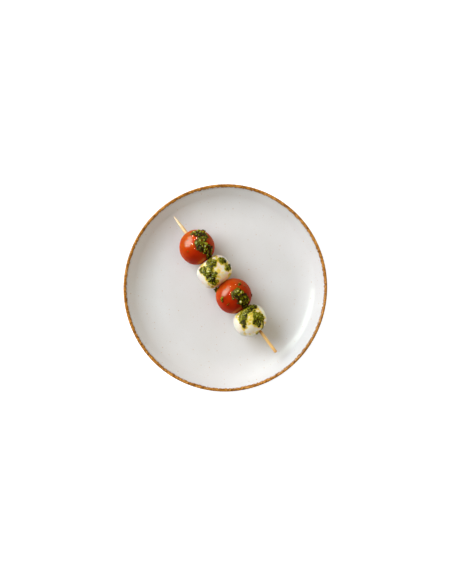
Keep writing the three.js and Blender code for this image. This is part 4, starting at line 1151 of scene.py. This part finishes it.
def hang_window():
    """Daylight through a tall window. The curtain spreads it: the lowest band gives least light.
    What shines back from wet skins is the clear middle of the window alone."""
    for name, low, high, radiance in (
        ("low_pane", 0.13, 0.65, (2.8, 2.1, 1.9)),
        ("middle_pane", 0.65, 1.16, (7.5, 8.55, 9.7)),
        ("high_pane", 1.16, 1.76, (4.7, 5.4, 6.45)),
    ):
        hang_pane(name, low, high, radiance).visible_glossy = False
    shine = hang_pane("shine_of_window", 0.13, 1.16, (31.0, 36.0, 30.0))
    shine.visible_diffuse = False
    shine.location *= 0.98


def fill_room():
    """Soft light from the ceiling and from the wall across from the window. Reflections see it
    much weaker, as in a room with dark corners, and the camera sees a plain white backdrop."""
    world = bpy.data.worlds.new("room")
    bpy.context.scene.world = world
    world.use_nodes = True
    tree = world.node_tree
    tree.nodes.clear()
    way = add(tree, "SeparateXYZ", {"Vector": add(tree, "TexCoord", out="Generated")}, out=None)
    up = add(tree, "Math", {0: way["Z"], 1: 0.0}, operation="MAXIMUM")
    overhead = add(tree, "Math", {0: up, 1: 4.0}, operation="POWER")
    across = add(tree, "Math", {0: way["X"], 1: 0.0}, operation="MAXIMUM")
    ceiling = add(tree, "Background", {"Color": (0.88, 0.81, 0.67, 1.0), "Strength": overhead})
    wall = add(tree, "Background", {"Color": (0.72, 0.7, 0.63, 1.0), "Strength": across})
    soft = add(tree, "AddShader", {0: ceiling, 1: wall})
    dark = add(tree, "Background", {"Color": (0.05, 0.048, 0.045, 1.0), "Strength": 1.0})
    plain = add(tree, "Background", {"Color": (1.0, 1.0, 1.0, 1.0), "Strength": 1.0})
    path = add(tree, "LightPath", out=None)
    room = add(tree, "MixShader", {0: path["Is Glossy Ray"], 1: soft, 2: dark})
    shown = add(tree, "MixShader", {0: path["Is Camera Ray"], 1: room, 2: plain})
    feed(tree.nodes.new("ShaderNodeOutputWorld"), {"Surface": shown})


def set_camera():
    """Straight above the plate, framed as the photo is."""
    data = bpy.data.cameras.new("camera")
    data.sensor_width = SENSOR
    data.lens = SENSOR * CAMERA_RISE * PIXELS_PER_MM / max(PHOTO_PIXELS)
    camera = bpy.data.objects.new("camera", data)
    camera.location = Vector((*CAMERA_OVER, STICK_HEIGHT + CAMERA_RISE)) * MM
    bpy.context.scene.collection.objects.link(camera)
    bpy.context.scene.camera = camera


# ---------------------------------------------------------------- the whole

build_plate(glazed_stoneware())
build_stick(split_bamboo())
skin, cheese, pesto, oil = tomato_skin(), fresh_mozzarella(), basil_pesto(), olive_oil()
for key, ball in BALLS.items():
    build_body(key, cheese if ball["cheese"] else skin)
    build_pesto(key, pesto)
    if key in OIL_BEADS:
        build_oil_beads(key, oil)
build_table(white_table())
hang_window()
fill_room()
set_camera()
bpy.context.scene.view_settings.view_transform = "Standard"
bpy.context.scene.view_settings.look = "None"
